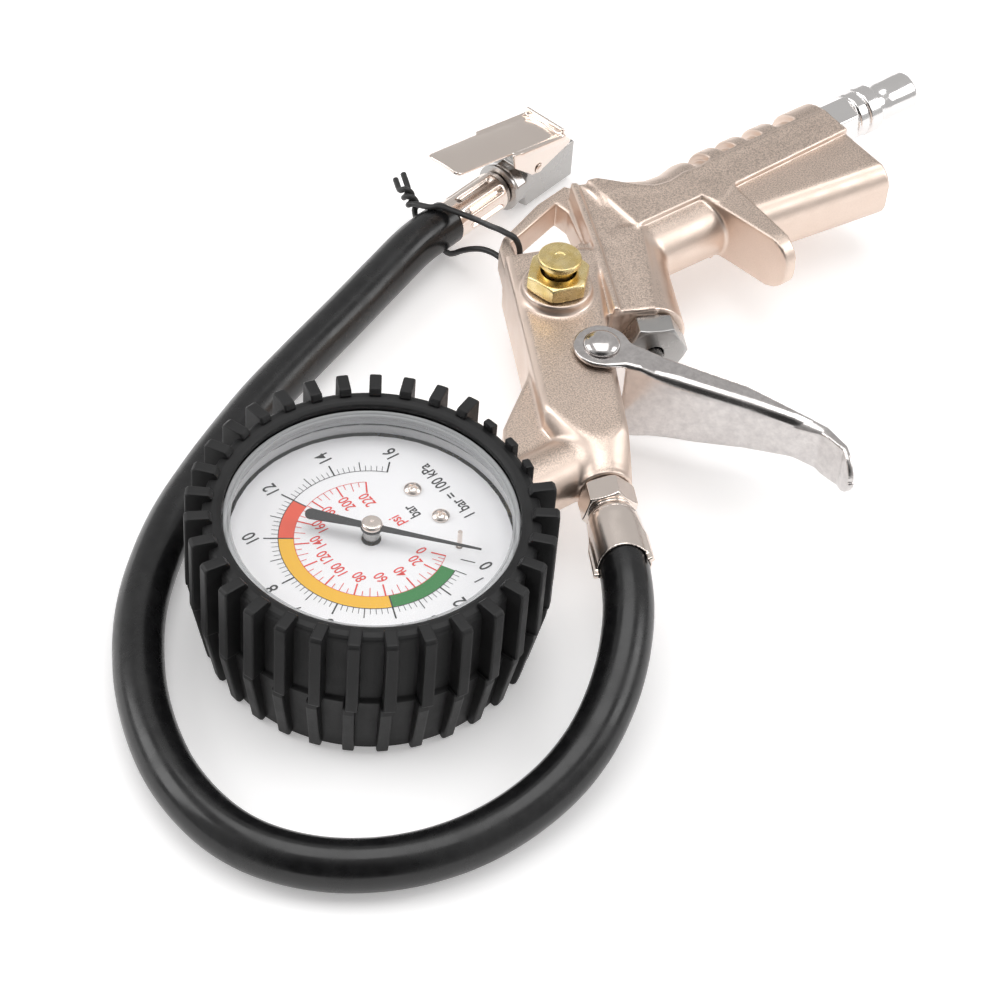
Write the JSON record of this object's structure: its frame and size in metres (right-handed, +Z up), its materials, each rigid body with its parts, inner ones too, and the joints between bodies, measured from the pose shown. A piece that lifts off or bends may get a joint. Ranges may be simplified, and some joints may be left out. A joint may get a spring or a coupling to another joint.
{
  "type": "tyre inflator with gauge",
  "caption": "Hand-held pistol-grip tyre inflator with a round dial gauge in a ribbed rubber boot, a trigger valve, a bleed button and a short hose with a clip-on chuck.",
  "frame": {"origin": "centre of the footprint of everything but the free hose, at the level the gauge's boot stands on", "axes": "+X along the grip towards the inlet plug, +Z up out of the dial, +Y towards the back of the grip"},
  "size_m": [0.3277, 0.2143, 0.0464],
  "materials": {
    "casting": "sand-textured satin nickel on a die casting",
    "chrome": "polished chrome plate",
    "steel": "satin steel",
    "nickel": "bright warm nickel plate",
    "brass": "turned brass",
    "rubber": "matt black moulded rubber",
    "hose": "smooth glossy black rubber",
    "dial": "white enamel",
    "lens": "clear",
    "pointer": "satin black",
    "seal": "matt black",
    "tie": "plastic-covered wire"
  },
  "bodies": {
    "gun": {"gun_body": "casting", "inlet_plug": "chrome", "valve_gland_nut": "steel", "valve_stem_seal": "seal", "valve_seat_ring": "seal", "valve_spring": "steel", "trigger_rivet": "chrome", "bleed_nut": "brass", "bleed_spring": "steel", "bleed_seal": "seal", "gauge_boot": "rubber", "gauge_case": "steel", "lens_gasket": "seal", "gauge_lens": "lens", "dial_plate": "dial", "dial_screw_1": "nickel", "dial_screw_2": "nickel", "pointer_stop_pin": "nickel", "movement_plate_lower": "brass", "movement_plate_upper": "brass", "movement_pillar_1": "brass", "movement_pillar_2": "brass", "gauge_socket": "brass", "bourdon_tube": "brass", "bourdon_tip": "brass", "tube_link": "brass", "hairspring": "steel", "hose_fitting": "nickel", "gun_ferrule": "nickel", "hose": "hose", "chuck_ferrule": "nickel", "chuck_washer": "seal", "chuck_body": "steel", "chuck_seal": "seal", "chuck_pin": "steel", "hose_tie": "tie"},
    "trigger": {"trigger_lever": "chrome"},
    "valve_stem": {"valve_stem": "steel"},
    "bleed_button": {"bleed_button": "brass"},
    "pointer": {"pointer": "pointer", "pointer_hub": "nickel", "pointer_cap": "nickel", "pinion_arbor": "brass"},
    "sector": {"sector_gear": "brass"},
    "chuck_lever": {"chuck_lever": "nickel", "chuck_jaw": "steel"},
    "check_pin": {"chuck_check_pin": "brass"}
  },
  "joints": [
    {"name": "trigger_pivot", "type": "hinge", "parent": "gun", "child": "trigger", "pos_m": [-0.0092, 0.0019, 0.022], "axis": [0, 0, 1], "range_deg": [0, 9], "stiffness_Nm_per_rad": 0.8, "springref_deg": -14.32},
    {"name": "valve_stem_slide", "type": "slide", "parent": "gun", "child": "valve_stem", "axis": [0.4524, 0.8918, 0], "range_m": [0, 0.0039]},
    {"name": "bleed_button_slide", "type": "slide", "parent": "gun", "child": "bleed_button", "axis": [0, 0, -1], "range_m": [0, 0.0022], "stiffness_N_per_m": 700, "springref_m": -0.002, "deforming": ["bleed_spring"]},
    {"name": "pointer_spin", "type": "hinge", "parent": "gun", "child": "pointer", "pos_m": [-0.101, -0.021, 0.022], "axis": [0, 0, -1], "range_deg": [0, 265]},
    {"name": "sector_pivot", "type": "hinge", "parent": "gun", "child": "sector", "pos_m": [-0.11, -0.03659, 0.022], "axis": [0, 0, 1], "range_deg": [0, 33.1], "stiffness_Nm_per_rad": 0.0006, "springref_deg": -11.46},
    {"name": "chuck_lever_pivot", "type": "hinge", "parent": "gun", "child": "chuck_lever", "pos_m": [0.0335, 0.09527, 0.016], "axis": [0.2079, -0.9781, 0], "range_deg": [0, 18], "stiffness_Nm_per_rad": 0.5, "springref_deg": -11.46},
    {"name": "check_pin_slide", "type": "slide", "parent": "gun", "child": "check_pin", "axis": [-0.9781, -0.2079, 0], "range_m": [0, 0.002], "stiffness_N_per_m": 300, "springref_m": -0.002}
  ],
  "couplings": [
    {"joint": "valve_stem_slide", "follows": "trigger_pivot", "m_per_rad": 0.0244},
    {"joint": "pointer_spin", "follows": "sector_pivot", "ratio": 8}
  ]
}
